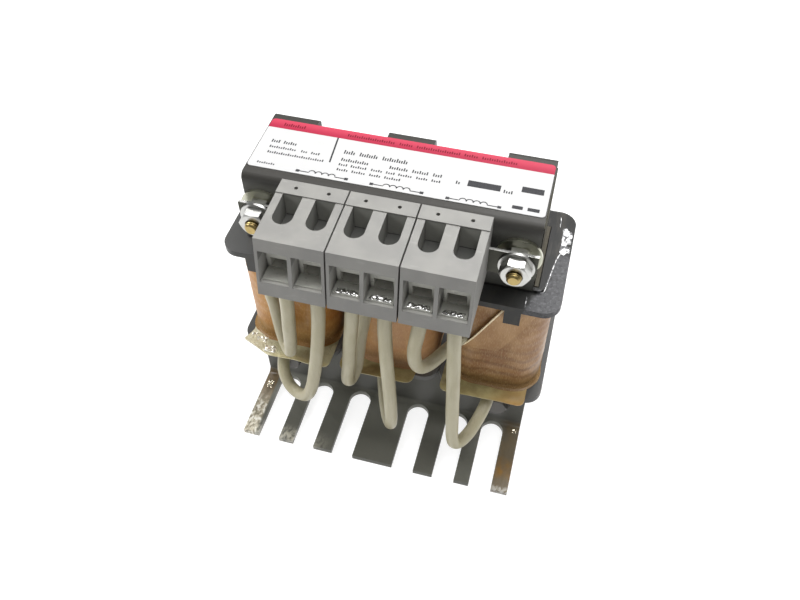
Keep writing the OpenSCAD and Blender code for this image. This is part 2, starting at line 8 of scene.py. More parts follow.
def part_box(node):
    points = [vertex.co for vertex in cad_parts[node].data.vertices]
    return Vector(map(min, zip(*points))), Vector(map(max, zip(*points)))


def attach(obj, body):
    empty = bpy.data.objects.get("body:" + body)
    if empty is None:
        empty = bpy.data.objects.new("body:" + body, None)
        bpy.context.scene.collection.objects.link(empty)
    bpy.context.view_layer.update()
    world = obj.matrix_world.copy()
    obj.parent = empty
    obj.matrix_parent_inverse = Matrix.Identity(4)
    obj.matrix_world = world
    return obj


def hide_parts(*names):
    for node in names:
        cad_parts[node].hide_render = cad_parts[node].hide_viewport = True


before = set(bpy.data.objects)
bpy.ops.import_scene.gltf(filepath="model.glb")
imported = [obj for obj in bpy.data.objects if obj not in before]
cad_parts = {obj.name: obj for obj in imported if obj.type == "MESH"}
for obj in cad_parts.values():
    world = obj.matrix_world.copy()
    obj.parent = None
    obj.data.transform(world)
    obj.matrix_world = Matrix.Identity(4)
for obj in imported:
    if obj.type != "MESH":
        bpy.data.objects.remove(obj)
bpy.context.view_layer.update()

MM = 0.001


def box_mm(node):
    """Low and high corner of a node's box, in millimetres."""
    return [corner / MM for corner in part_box(node)]


# Places that finishes and pieces share, in millimetres

# Upper bolts: their axes, from the nuts' hexagons, and their shanks
nuts_low, nuts_high = box_mm("outer_nuts")
BOLT_X = nuts_high.x - (nuts_high.z - nuts_low.z) / math.cos(math.radians(30)) / 2
BOLT_Z = (nuts_low.z + nuts_high.z) / 2
SHANK_RADIUS = 4.83 / 2

# Terminal blocks: wire entries from the middle outwards, lean of the fronts, half width of the wire mouths,
# floor of the screw openings, and rear edge and slope of the field that they lie in
block_low, block_high = box_mm("terminal_block_middle")
POLES = (5.8, 18.78, 30.38)
FRONT_LEAN = 3.8 / 23.5
MOUTH_HALF = 5.1
SCREW_SEAT = 117.2
FIELD_Y, FIELD_Z = -26, block_high.z - 0.4
FIELD_SLOPE = 0.6 / 21.3

# Label: front edge of the red band along its rear
label_low, label_high = box_mm("rating_label")
BAND_SHARE = 0.185
BAND_EDGE = label_high.y - BAND_SHARE * (label_high.y - label_low.y)

# Coils: height of a wire layer
LAYER_PITCH = 5.2

# Camera, fitted to the corners of the blocks, the label and the feet in the photograph
PHOTO_WIDTH = 800
FOCAL_PIXELS = 793.79
SENSOR_WIDTH = 36
camera_place = Vector((56.386, -204.855, 309.533)) * MM
camera_right = Vector((0.96537, 0.26078, -0.00714))
camera_down = Vector((0.19737, -0.74797, -0.63371))


def make_camera():
    """The photograph's view of the terminals, the label and the right end."""
    lens = bpy.data.cameras.new("photo_camera")
    lens.sensor_width = SENSOR_WIDTH
    lens.lens = SENSOR_WIDTH * FOCAL_PIXELS / PHOTO_WIDTH
    lens.clip_start = 10 * MM
    camera = bpy.data.objects.new("photo_camera", lens)
    backwards = -camera_right.cross(camera_down)
    turn = Matrix((camera_right, -camera_down, backwards)).transposed().to_4x4()
    camera.matrix_world = Matrix.Translation(camera_place) @ turn
    bpy.context.scene.collection.objects.link(camera)
    bpy.context.scene.camera = camera


# Shader maths


def operator(operation):
    """Methods for an operator and its reflected form, each of which adds a Math node."""

    def forward(self, other):
        return self.math(operation, self, other)

    def reflected(self, other):
        return self.math(operation, other, self)

    return forward, reflected


class Signal:
    """A socket of a finish: arithmetic on it adds Math nodes to that finish."""

    def __init__(self, finish, socket):
        self.finish = finish
        self.socket = socket

    def math(self, operation, *values):
        return self.finish.node("ShaderNodeMath", {"operation": operation}, dict(enumerate(values)))

    __add__, __radd__ = operator("ADD")
    __sub__, __rsub__ = operator("SUBTRACT")
    __mul__, __rmul__ = operator("MULTIPLY")
    __truediv__, __rtruediv__ = operator("DIVIDE")
    __pow__, __rpow__ = operator("POWER")
    __mod__, __rmod__ = operator("FLOORED_MODULO")

    def __abs__(self):
        return self.math("ABSOLUTE", self)

    def sine(self):
        return self.math("SINE", self)

    def least(self, other):
        return self.math("MINIMUM", self, other)

    def most(self, other):
        return self.math("MAXIMUM", self, other)

    def rise(self, low, high):
        """0 up to low, 1 from high on, smooth between; low may be the larger of the two."""
        return self.finish.node(
            "ShaderNodeMapRange",
            {"interpolation_type": "SMOOTHSTEP"},
            {"Value": self, "From Min": low, "From Max": high},
        )

    def within(self, low, high, soft):
        """1 between low and high, with soft edges."""
        return self.rise(low - soft, low + soft) * self.rise(high + soft, high - soft)


class Finish:
    """One material. Places are read in millimetres in the object's own frame."""

    def __init__(self, name):
        self.material = bpy.data.materials.new(name)
        self.material.use_nodes = True
        self.tree = self.material.node_tree
        self.shader = self.tree.nodes["Principled BSDF"]
        metres = self.node("ShaderNodeTexCoord", out="Object")
        self.place = self.vector("MULTIPLY", metres, (1 / MM,) * 3)
        self.x, self.y, self.z = (
            self.node("ShaderNodeSeparateXYZ", sockets={0: self.place}, out=axis) for axis in range(3)
        )

    def node(self, kind, settings=None, sockets=None, out=0):
        """Adds a node, sets it up, feeds its sockets and gives one of its outputs."""
        made = self.tree.nodes.new(kind)
        for name, value in (settings or {}).items():
            setattr(made, name, value)
        for key, value in (sockets or {}).items():
            self.feed(made.inputs[key], value)
        return Signal(self, made.outputs[out])

    def feed(self, socket, value):
        """Links a signal to a socket, or sets the socket to a plain value."""
        if isinstance(value, Signal):
            self.tree.links.new(value.socket, socket)
        else:
            socket.default_value = value

    def vector(self, operation, first, second):
        """Vector Math on two vectors."""
        return self.node("ShaderNodeVectorMath", {"operation": operation}, {0: first, 1: second})

    def mix(self, share, first, second):
        """Colour from first to second as share goes from 0 to 1."""
        return self.node("ShaderNodeMix", {"data_type": "RGBA"}, {0: share, 6: first, 7: second}, 2)

    def grain(self, size, detail=2, stretch=(1, 1, 1), shift=0):
        """Noise from 0 to 1 in spots about size millimetres across, drawn out by stretch."""
        spread = tuple(1 / (size * s) for s in stretch)
        where = self.vector("ADD", self.vector("MULTIPLY", self.place, spread), (shift,) * 3)
        return self.node("ShaderNodeTexNoise", sockets={"Vector": where, "Scale": 1, "Detail": detail})

    def bump(self, height, depth, strength):
        """Normal of a surface raised by height (0 to 1) times depth in millimetres."""
        sockets = {"Height": height, "Distance": depth * MM, "Strength": strength}
        return self.node("ShaderNodeBump", sockets=sockets)

    def surface(self, **values):
        """Sets the shader's sockets; base_color stands for Base Color, and so on."""
        for name, value in values.items():
            title = name.replace("_", " ").title().replace("Ior", "IOR")
            self.feed(self.shader.inputs[title], value)
        return self.material


def paint(red, green, blue):
    """Colour from display values of 0 to 255, as the light-proportional values a shader takes."""
    values = [v / 255 for v in (red, green, blue)]
    return tuple(v / 12.92 if v <= 0.04045 else ((v + 0.055) / 1.055) ** 2.4 for v in values) + (1,)


# Finishes: places in millimetres in the part's frame, colours in display values


def black_bracket_finish():
    """Black steel under baked varnish: even above, brown where it ran over the outer feet. Painted reflection
    silvers the feet's front ends, painted shade darkens the top bracket's upper part and painted light lifts
    the lower parts in shade.
    """
    f = Finish("black_bracket_varnish")
    feet = f.z.rise(5, 3)
    ripples = f.grain(1.3, 3, (1, 1.6, 1), 7)
    patches = f.grain(3.4, 2, (1, 1.5, 1), 4).rise(0.35, 0.75)
    # Painted shade: the top bracket's upper part, with its rounded front edge, is darker.
    painted_shade_bend = f.z.rise(119, 123)
    dust = f.grain(1.2, 4, shift=3).rise(0.58, 0.8)
    first = feet * f.x.rise(-52.8, -53.8)
    # Painted reflection: silvery front ends on the second and third feet from the left.
    tip_reflection = feet * f.x.rise(-16, -36) * f.y.rise(-43, -50) * ripples.rise(0.3, 0.6)
    right_end = feet * f.x.rise(48, 54)
    # Painted light: from just behind the front feet rearwards, the rear bracket included, the feet and lower
    # walls are lighter, lifting the shade under the blocks.
    painted_lift_in_shade = f.y.rise(-42, -27) * f.z.rise(45, 35) * (1 - right_end)
    base = f.mix(feet, paint(86, 86, 82), paint(92, 92, 85))
    base = f.mix(painted_lift_in_shade * 0.8, base, f.mix(feet, paint(102, 102, 97), paint(136, 136, 128)))
    base = f.mix(painted_shade_bend * 0.8, base, paint(48, 46, 44))
    base = f.mix(dust * 0.12, base, paint(110, 106, 96))
    base = f.mix(right_end * (0.45 + patches * 0.25), base, paint(112, 94, 66))
    amber = right_end * f.y.within(-45, -37, 3) * (0.3 + patches * 0.7)
    # Painted reflection: the front end of the right outer foot is silvery.
    right_tip_reflection = right_end * f.y.rise(-48.6, -50.4) * ripples.rise(0.35, 0.6)
    base = f.mix(amber * 0.8, base, paint(134, 98, 46))
    base = f.mix(right_tip_reflection * 0.8, base, paint(172, 170, 162))
    base = f.mix(tip_reflection * 0.75, base, paint(186, 182, 166))
    # Leftmost foot: brown varnish with darker patches, its own colour; the paling towards the front end and
    # the near-white ripples are painted reflection and painted highlights.
    varnish = f.mix(f.y.rise(-23, -46), paint(120, 100, 70), paint(214, 206, 184))
    varnish = f.mix(patches * f.y.rise(-50, -40) * 0.6, varnish, paint(84, 72, 52))
    varnish = f.mix(ripples.rise(0.52, 0.4) * f.y.rise(-30, -38) * 0.6, varnish, paint(96, 88, 68))
    varnish = f.mix(ripples.rise(0.5, 0.62) * f.y.rise(-30, -40) * 0.8, varnish, paint(244, 242, 234))
    base = f.mix(first * (0.7 + ripples * 0.3), base, varnish)
    wet = first.most(right_end).most(tip_reflection)
    return f.surface(
        base_color=base,
        roughness=0.36 + dust * 0.12 - wet * 0.16,
        specular_ior_level=0.12,
        coat_weight=0.02 + wet * 0.6,
        coat_roughness=0.1,
        normal=f.bump(ripples * (0.3 + wet * 3), 0.1, 0.5),
    )


def black_bobbin_finish():
    """Black moulded flanges under varnish, rougher past an edge on the upper right one; painted sheen greys
    that part, painted shade darkens the rest of that flange and painted light lifts the fronts in shade.
    """
    f = Finish("black_bobbin_varnish")
    ripples = f.grain(2.6, 2, shift=5)
    fine = f.grain(0.5, 3, shift=2)
    streaks = f.grain(3, 3, (1, 5, 1), 2).rise(0.5, 0.7)
    painted_shade_right = f.x.rise(20, 24) * f.y.rise(26.4, 25) * f.z.rise(60, 80)
    step = f.y.rise(-16.4, -16.8)
    edge = (58.8 + f.y * 0.1) * (1 - step) + (61 + f.y * 0.37) * step
    dull_and_sheen = (f.x - edge + (ripples - 0.5) * 3).rise(-0.3, 1) * f.y.rise(5, 1) * f.z.rise(86, 88)
    painted_lift_under_blocks = f.y.rise(-14.5, -18) * f.x.rise(56, 52)
    painted_lift_low_front = f.y.rise(-12, -20) * f.z.rise(50, 44) * f.x.within(-53, 50, 3)
    # Painted shade: the upper right flange is darker than the others.
    base = f.mix(painted_shade_right, paint(76, 76, 75), paint(30, 30, 29))
    # Painted light: in front under the blocks the upper right flange is less dark, and the lower flanges'
    # fronts are lighter where shade falls.
    base = f.mix(painted_shade_right * painted_lift_under_blocks, base, paint(62, 62, 61))
    base = f.mix(painted_lift_low_front * 0.8, base, paint(112, 112, 110))
    base = f.mix(streaks * 0.3, base, paint(78, 74, 66))
    # Rougher varnish past the edge; its grey base, with specks, is painted sheen.
    base = f.mix(dull_and_sheen * (0.8 + fine * 0.2), base, paint(88, 88, 90))
    base = f.mix(dull_and_sheen * f.grain(1.1, 4, shift=8).rise(0.5, 0.64) * 0.5, base, paint(112, 112, 114))
    base = f.mix(dull_and_sheen * f.grain(1.5, 3, shift=4).rise(0.52, 0.66) * 0.5, base, paint(60, 60, 63))
    return f.surface(
        base_color=base,
        roughness=0.34 + dull_and_sheen * 0.16,
        specular_ior_level=0.1,
        coat_weight=0.03,
        coat_roughness=0.08,
        normal=f.bump(ripples + fine * (0.1 + dull_and_sheen * 0.6), 0.05, 0.5),
    )


def core_steel_finish():
    """Edges of the varnished sheets, stacked from front to back."""
    f = Finish("core_laminations")
    sheet = 0.5
    across = (f.y / sheet) % 1
    joint = abs(across - 0.5).rise(0.28, 0.46)
    tone = f.grain(0.7, 1, (40, 1, 40))
    stain = f.grain(7, 3, (1, 1, 2), 4).rise(0.4, 0.75)
    steel = f.mix(tone, paint(66, 66, 58), paint(104, 102, 90))
    base = f.mix(stain * 0.6, steel, paint(70, 62, 46))
    base = f.mix(joint * 0.75, base, paint(36, 34, 30))
    return f.surface(
        base_color=base,
        roughness=0.6 + tone * 0.12,
        specular_ior_level=0.12,
        normal=f.bump(1 - joint, 0.06, 0.7),
    )


def amber_wrap_finish(name="amber_coil_wrap", lighter=0.0):
    """Varnished coil paper: orange with upright streaks on the left, browner with bands on the right."""
    f = Finish(name)
    right = f.x.rise(18, 26)
    left = f.x.rise(-18, -26)
    streaks = f.grain(1.3, 3, (1, 1, 14))
    blotches = f.grain(9, 3, (1, 1, 1.6), 2)
    fibres = f.grain(0.35, 2, (1, 1, 5), 9)
    orange = f.mix(blotches.rise(0.35, 0.65), paint(196, 132, 60), paint(216, 160, 82))
    brown = f.mix(blotches.rise(0.3, 0.7), paint(132, 91, 53), paint(162, 123, 78))
    base = f.mix(right, orange, brown)
    base = f.mix(streaks.rise(0.5, 0.8) * (1 - right * 0.8) * 0.4, base, paint(156, 94, 46))
    wave = f.grain(16, 1, (1, 1, 3), 6) * 9
    bands = ((f.z + wave) * (2 * math.pi / LAYER_PITCH)).sine().rise(-0.2, 1)
    low_down = f.z.rise(72, 46)
    base = f.mix(low_down * right * 0.35, base, paint(122, 88, 54))
    base = f.mix(bands * low_down * (0.1 + right * 0.4), base, paint(96, 62, 32))
    # Darker olive-brown at the foot: varnish pooled there, with painted shade.
    foot = f.z.rise(47, 37)
    base = f.mix(foot * 0.65, base, paint(116, 92, 52))
    base = f.mix(left * 0.4, base, paint(128, 96, 54))
    base = f.mix((1 - left) * (1 - right) * 0.6, base, paint(176, 142, 112))
    base = f.mix(left * f.z.rise(56, 42) * 0.2, base, paint(150, 120, 80))
    base = f.mix(fibres.rise(0.45, 0.75) * 0.2, base, paint(236, 204, 152))
    if lighter:
        base = f.mix(lighter, base, paint(190, 150, 98))
    return f.surface(
        base_color=base,
        roughness=0.5 - blotches * 0.18,
        specular_ior_level=0.25,
        coat_weight=0.05 + blotches.rise(0.4, 0.7) * 0.15,
        coat_roughness=0.18,
        normal=f.bump(fibres * 0.4 + streaks * 0.5 + bands * 0.2, 0.07, 0.5),
    )


def paper_edge_finish():
    """Cut edge of the coil paper, cream and fibrous."""
    f = Finish("cream_paper_edge")
    fibres = f.grain(0.4, 3, (1, 1, 3))
    base = f.mix(fibres.rise(0.3, 0.7), paint(226, 204, 160), paint(246, 234, 204))
    return f.surface(base_color=base, roughness=0.6, normal=f.bump(fibres, 0.05, 0.5))


def collar_finish():
    """Varnished insulation sheets: olive, cream at the left corner and amber at the right one."""
    f = Finish("olive_insulation_sheet")
    cloud = f.grain(5, 3, shift=1)
    left_coil = f.x.rise(-20, -24)
    corner = f.x.rise(-46, -57)
    right_end = f.x.rise(40, 56)
    front = f.y.rise(-26, -31)
    olive = f.mix(cloud.rise(0.3, 0.7), paint(128, 118, 80), paint(164, 154, 110))
    base = f.mix(front * 0.3, olive, paint(196, 182, 130))
    base = f.mix(right_end * (0.4 + front * 0.45), base, paint(172, 124, 52))
    base = f.mix(left_coil * (0.7 + cloud * 0.3), base, paint(176, 174, 142))
    base = f.mix(left_coil * f.y.rise(-29, -31.5) * 0.7, base, paint(214, 204, 156))
    base = f.mix(corner * (0.7 + cloud * 0.3), base, paint(218, 212, 184))
    ripples = f.grain(1.6, 3, shift=5)
    return f.surface(
        base_color=base,
        roughness=0.34 - corner * 0.14,
        coat_weight=0.4 + corner * 0.5,
        coat_roughness=0.08,
        normal=f.bump(ripples * (1 + left_coil * 3), 0.25, 0.7),
    )


def lead_sleeve_finish():
    """Cream glass sleeving, a little paler and glossier towards the lower ends."""
    f = Finish("cream_lead_sleeve")
    low = f.z.rise(70, 20)
    cloud = f.grain(6, 3, (1, 1, 2.5))
    weave = f.grain(0.45, 2, (1, 1, 1.6), 3)
    streaks = f.grain(1.1, 2, (1, 1, 12), 6)
    base = f.mix(cloud.rise(0.3, 0.7), paint(166, 159, 131), paint(177, 171, 146))
    base = f.mix(low * 0.6, base, paint(182, 175, 147))
    base = f.mix(streaks.rise(0.52, 0.75) * 0.3, base, paint(148, 142, 118))
    base = f.mix(weave.rise(0.5, 0.8) * 0.12, base, paint(126, 120, 102))
    return f.surface(
        base_color=base,
        roughness=0.46 - cloud * 0.1,
        specular_ior_level=0.3,
        coat_weight=0.05 + low * 0.2,
        coat_roughness=0.25,
        normal=f.bump(weave + streaks * 0.6, 0.06, 0.5),
    )


def block_finish():
    """Grey moulded plastic with a fine texture; painted light and painted shade in the wire mouths and screw
    openings.
    """
    f = Finish("grey_terminal_plastic")
    flow = f.grain(9, 2, (1, 1, 2))
    texture = f.grain(0.22, 2)
    scuffs = f.grain(2.2, 4, (3, 1, 1), 5).rise(0.6, 0.8)
    side = abs(f.x)
    from_pole = abs(side - POLES[0])
    for pole in POLES[1:]:
        from_pole = from_pole.least(abs(side - pole))
    field = FIELD_Z + (f.y - FIELD_Y) * FIELD_SLOPE
    opening = from_pole.rise(3.7, 3.45) * f.y.within(-39.6, -25.9, 0.1) * (field - f.z).rise(0.1, 0.7)
    front = block_low.y + (f.z - block_low.z) * FRONT_LEAN
    mouth_lift = from_pole.rise(MOUTH_HALF + 0.1, MOUTH_HALF + 0.01) * (f.y - front).rise(0.1, 0.5)
    mouth_lift = mouth_lift * f.z.within(block_low.z + 0.3, SCREW_SEAT - 0.3, 0.1)
    base = f.mix(flow.rise(0.3, 0.7), paint(123, 122, 119), paint(131, 130, 126))
    base = f.mix(scuffs * 0.2, base, paint(170, 169, 165))
    base = f.mix(texture.rise(0.6, 0.8) * 0.1, base, paint(100, 99, 98))
    # Painted light: the insides of the wire mouths are lighter, lifting their shade.
    base = f.mix(mouth_lift * 0.9, base, paint(162, 161, 156))
    # Painted light: the screw openings' walls are lighter; painted shade darkens their side walls and the
    # floor where the screws sit.
    base = f.mix(opening * 0.9, base, paint(158, 158, 152))
    base = f.mix(opening * from_pole.rise(3.36, 3.44) * 0.9, base, paint(100, 100, 96))
    base = f.mix(opening * f.z.rise(SCREW_SEAT + 0.5, SCREW_SEAT + 0.2) * 0.95, base, paint(82, 82, 79))
    return f.surface(
        base_color=base,
        roughness=0.44 + texture * 0.12 - scuffs * 0.06,
        specular_ior_level=0.3,
        normal=f.bump(texture, 0.02, 0.4),
    )


def zinc_finish():
    """Plated rail, nuts and washers: bright, with the wide washers tinted olive and the rail's front rougher
    and darkened by painted shade.
    """
    f = Finish("bright_zinc_plate")
    wide = f.y.within(-19.3, -17.9, 0.1)
    rail_front_shade = f.y.within(-23.25, -23.12, 0.03)
    brushed = f.grain(0.5, 3, (9, 1, 1))
    cloud = f.grain(3, 3, shift=2)
    base = f.mix(cloud, paint(172, 172, 168), paint(202, 202, 199))
    base = f.mix(wide * 0.85, base, paint(190, 190, 172))
    # Painted shade and reflection: the rail's front is dark.
    base = f.mix(rail_front_shade * 0.95, base, paint(58, 58, 50))
    return f.surface(
        base_color=base,
        metallic=1.0,
        roughness=0.2 + brushed * 0.14 + cloud * 0.06 + rail_front_shade * 0.15,
        normal=f.bump(brushed, 0.02, 0.4),
    )


def cage_finish():
    """Tinned clamp cages, matt with bright rubbed patches, and painted shade on their fronts."""
    f = Finish("tinned_cage_metal")
    cloud = f.grain(1.6, 3)
    rubbed = f.grain(0.8, 3, (3, 1, 1), 4).rise(0.5, 0.75)
    front = f.y.rise(-43.2, -43.35)
    base = f.mix(cloud, paint(206, 205, 198), paint(228, 227, 220))
    # Painted shade: the cages' fronts, deep in the wire mouths, are darker.
    base = f.mix(front * 0.85, base, paint(176, 176, 168))
    return f.surface(
        base_color=base,
        metallic=0.25,
        roughness=0.42 - rubbed * 0.2,
        normal=f.bump(cloud + rubbed, 0.06, 0.6),
    )


def bright_tin_finish():
    """Rumpled tin on the clamp lips."""
    f = Finish("bright_rumpled_tin")
    cloud = f.grain(0.5, 3)
    base = f.mix(cloud, paint(214, 213, 210), paint(240, 240, 238))
    return f.surface(
        base_color=base,
        metallic=1.0,
        roughness=0.1 + cloud * 0.1,
        normal=f.bump(cloud, 0.05, 0.4),
    )


def screw_finish():
    """Dark passivated screw heads with turning marks."""
    f = Finish("dark_terminal_screw")
    cloud = f.grain(0.9, 3)
    base = f.mix(cloud, paint(70, 70, 68), paint(92, 91, 88))
    return f.surface(
        base_color=base,
        metallic=0.9,
        roughness=0.3 + cloud * 0.2,
        normal=f.bump(cloud, 0.03, 0.4),
    )


def brass_bolt_finish():
    """Yellow passivated bolts, dark in the grooves of the thread."""
    f = Finish("yellow_bolt_plate")
    cloud = f.grain(1.2, 3)
    iris = f.grain(2.4, 2, shift=6).rise(0.4, 0.7)
    across = abs(f.x) - BOLT_X
    up = f.z - BOLT_Z
    radius = (across * across + up * up) ** 0.5
    groove = radius.within(SHANK_RADIUS - 0.05, SHANK_RADIUS + 0.04, 0.03) * f.y.rise(-28, -28.4)
    base = f.mix(cloud, paint(150, 130, 80), paint(190, 170, 116))
    base = f.mix(iris * 0.3, base, paint(176, 138, 104))
    base = f.mix(groove * 0.8, base, paint(52, 46, 30))
    return f.surface(
        base_color=base,
        metallic=1.0,
        roughness=0.26 + cloud * 0.16,
        normal=f.bump(cloud, 0.02, 0.4),
    )


def black_bolt_finish():
    """Blackened lower bolts with varnish on them."""
    f = Finish("black_bolt_oxide")
    cloud = f.grain(1.5, 3)
    base = f.mix(cloud, paint(44, 43, 42), paint(70, 64, 54))
    return f.surface(
        base_color=base,
        metallic=0.5,
        roughness=0.3 + cloud * 0.2,
        coat_weight=0.5,
        coat_roughness=0.1,
        normal=f.bump(cloud, 0.04, 0.4),
    )


def fibre_finish():
    """Pressed fibre of the gap spacers, dark with varnish."""
    f = Finish("dark_gap_fibre")
    fibres = f.grain(0.6, 3, (4, 1, 1))
    base = f.mix(fibres, paint(58, 54, 44), paint(84, 78, 62))
    return f.surface(base_color=base, roughness=0.7, normal=f.bump(fibres, 0.05, 0.5))


def wire_finish():
    """Turns of enamelled wire, one above the other."""
    f = Finish("enamelled_winding_wire")
    turn = 1.6
    height = abs(((f.z / turn) % 1) - 0.5)
    base = f.mix(height.rise(0.2, 0.5), paint(176, 92, 44), paint(110, 50, 22))
    return f.surface(
        base_color=base,
        metallic=0.4,
        roughness=0.3,
        coat_weight=0.6,
        normal=f.bump(1 - height, 0.5, 0.8),
    )


def label_finish():
    """White label with a red band along its rear."""
    f = Finish("white_label_face")
    paper = f.grain(7, 3)
    wear = f.grain(1.4, 4, shift=3).rise(0.62, 0.85)
    red = f.y.rise(BAND_EDGE - 0.1, BAND_EDGE + 0.1)
    base = f.mix(paper, paint(178, 178, 178), paint(184, 184, 183))
    rearward = f.y.rise(BAND_EDGE, label_high.y) * 0.9 + paper * 0.1
    red_ink = f.mix(rearward, paint(146, 30, 56), paint(174, 58, 78))
    base = f.mix(red, base, red_ink)
    base = f.mix(wear * 0.1, base, paint(150, 148, 145))
    return f.surface(
        base_color=base,
        roughness=0.45 + paper * 0.1,
        specular_ior_level=0.15,
        normal=f.bump(paper + wear * 0.4, 0.03, 0.3),
    )


def ink_finish(name, colour):
    """Printing ink, a little uneven."""
    f = Finish(name)
    cloud = f.grain(0.6, 3)
    lighter = tuple(value * 1.5 for value in colour[:3]) + (1,)
    base = f.mix(cloud.rise(0.4, 0.8), colour, lighter)
    return f.surface(base_color=base, roughness=0.5 + cloud * 0.1, specular_ior_level=0.1)


def highlight_varnish_finish():
    """Varnish coloured as a painted highlight: near white, with dark veins between its ripples."""
    f = Finish("painted_highlight_varnish")
    veins = abs(f.grain(2.2, 2, (1, 1.6, 1), 3) - 0.5).rise(0.1, 0.05)
    veins = veins.most(f.grain(1.8, 2, (1, 2, 1), 9).rise(0.6, 0.66))
    base = f.mix(veins * 0.85, paint(240, 240, 240), paint(60, 60, 64))
    return f.surface(
        base_color=base,
        roughness=0.12,
        coat_weight=1.0,
        coat_roughness=0.03,
        normal=f.bump(f.grain(1.2, 2), 0.2, 0.5),
    )


def white_glint_finish():
    """Ripples of varnish on the left collar, near white as painted highlights."""
    f = Finish("white_varnish_glint")
    cloud = f.grain(0.8, 2)
    base = f.mix(cloud.rise(0.35, 0.65), paint(232, 226, 202), paint(255, 254, 248))
    return f.surface(
        base_color=base,
        metallic=0.25,
        roughness=0.16,
        coat_weight=0.8,
        coat_roughness=0.04,
        normal=f.bump(cloud, 0.1, 0.4),
    )


def amber_drop_finish():
    """Clear amber drops that catch the light."""
    f = Finish("amber_varnish_drop")
    cloud = f.grain(1, 2)
    base = f.mix(cloud, paint(226, 208, 170), paint(252, 248, 236))
    return f.surface(base_color=base, metallic=0.9, roughness=0.14, normal=f.bump(cloud, 0.1, 0.4))


def floor_finish():
    """Pale studio floor, lit a little from within like a light table."""
    f = Finish("pale_floor")
    cloud = f.grain(120, 2)
    base = f.mix(cloud, paint(156, 156, 156), paint(160, 160, 160))
    return f.surface(
        base_color=base,
        roughness=0.8,
        emission_color=(1, 1, 1, 1),
        emission_strength=0.82,
        normal=f.bump(f.grain(2, 2), 0.02, 0.2),
    )


# Mesh pieces


def make_piece(name, points, faces, slot, materials, stands_for=(), sharp=40, numbers=()):
    """A mesh piece from points in millimetres; numbers say which material a face takes, if not the first."""
    mesh = bpy.data.meshes.new(name)
    mesh.from_pydata([Vector(p) * MM for p in points], [], faces)
    for material in materials:
        mesh.materials.append(material)
    for polygon, number in zip(mesh.polygons, numbers):
        polygon.material_index = number
    form = bmesh.new()
    form.from_mesh(mesh)
    bmesh.ops.recalc_face_normals(form, faces=form.faces)
    form.to_mesh(mesh)
    form.free()
    mesh.shade_smooth()
    mesh.set_sharp_from_angle(angle=math.radians(sharp))
    piece = bpy.data.objects.new(name, mesh)
    bpy.context.scene.collection.objects.link(piece)
    if stands_for:
        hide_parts(*stands_for)
    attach(piece, "root")


def skin(rings, round_trip=False, caps=False):
    """Points and faces over closed rings with the same number of points each."""
    count = len(rings[0])
    points = [point for ring in rings for point in ring]
    faces = []
    for k in range(len(rings) if round_trip else len(rings) - 1):
        low = k * count
        high = (k + 1) % len(rings) * count
        for a in range(count):
            b = (a + 1) % count
            faces.append((low + a, low + b, high + b, high + a))
    if caps:
        faces.append(tuple(range(count)))
        faces.append(tuple(range(len(points) - count, len(points))))
    return points, faces


def slab_faces(rows, columns):
    """Faces above, below and round the rim of a sheet, whose points are a grid above and then one below."""
    across = columns + 1
    offset = across * (rows + 1)
    above, below = [], []
    for r in range(rows):
        for c in range(columns):
            a = r * across + c
            above.append((a, a + 1, a + across + 1, a + across))
            below.append((offset + a, offset + a + across, offset + a + across + 1, offset + a + 1))
    rim = list(range(columns)) + [r * across + columns for r in range(rows)]
    rim += [rows * across + c for c in range(columns, 0, -1)] + [r * across for r in range(rows, 0, -1)]
    return above, below, [(a, offset + a, offset + b, b) for a, b in zip(rim, rim[1:] + rim[:1])]


def held(value, least=0):
    """Value held between least and 1."""
    return max(least, min(1, value))


def angles(count):
    """Even steps of a full turn."""
    return [2 * math.pi * k / count for k in range(count)]


def headings(path):
    """Direction of travel at each point of an open path."""
    return [(b - a).normalized() for a, b in zip(path[:1] + path, path[1:] + path[-1:])]


def resample(loop, count):
    """Points at even steps round a closed loop of flat points."""
    ends = loop[1:] + loop[:1]
    lengths = [(b - a).length for a, b in zip(loop, ends)]
    step = sum(lengths) / count
    out = []
    k = 0
    passed = 0
    for n in range(count):
        while passed + lengths[k] < n * step:
            passed += lengths[k]
            k += 1
        share = (n * step - passed) / lengths[k] if lengths[k] else 0
        out.append(loop[k].lerp(ends[k], share))
    return out


def rounded_loop(corners, count, arc_steps=10):
    """Closed loop through corners given as (x, y, radius), each rounded by its radius, counterclockwise."""
    loop = []
    for k, (x, y, radius) in enumerate(corners):
        here = Vector((x, y))
        before = (Vector(corners[k - 1][:2]) - here).normalized()
        after = (Vector(corners[(k + 1) % len(corners)][:2]) - here).normalized()
        half = before.angle(after) / 2
        reach = radius / math.tan(half)
        start, end = here + before * reach, here + after * reach
        for s in range(arc_steps + 1):
            u = s / arc_steps
            loop.append(start * (1 - u) ** 2 + here * 2 * u * (1 - u) + end * u ** 2)
    return resample(loop, count)


def box_loop(low, high, radius, count, arc_steps=12):
    """Even steps round a rounded box seen from above, counterclockwise from the middle of its front."""
    loop = [Vector(((low.x + high.x) / 2, low.y))]
    left, right = low.x + radius, high.x - radius
    front, rear = low.y + radius, high.y - radius
    for quarter, centre in enumerate(((right, front), (right, rear), (left, rear), (left, front))):
        for s in range(arc_steps + 1):
            angle = math.radians(90 * (quarter - 1) + 90 * s / arc_steps)
            loop.append(Vector(centre) + radius * Vector((math.cos(angle), math.sin(angle))))
    return resample(loop, count)


def outward(loop):
    """Outward direction at each point of a counterclockwise loop."""
    along = [b - a for a, b in zip(loop[-1:] + loop[:-1], loop[1:] + loop[:1])]
    return [Vector((way.y, -way.x)).normalized() for way in along]


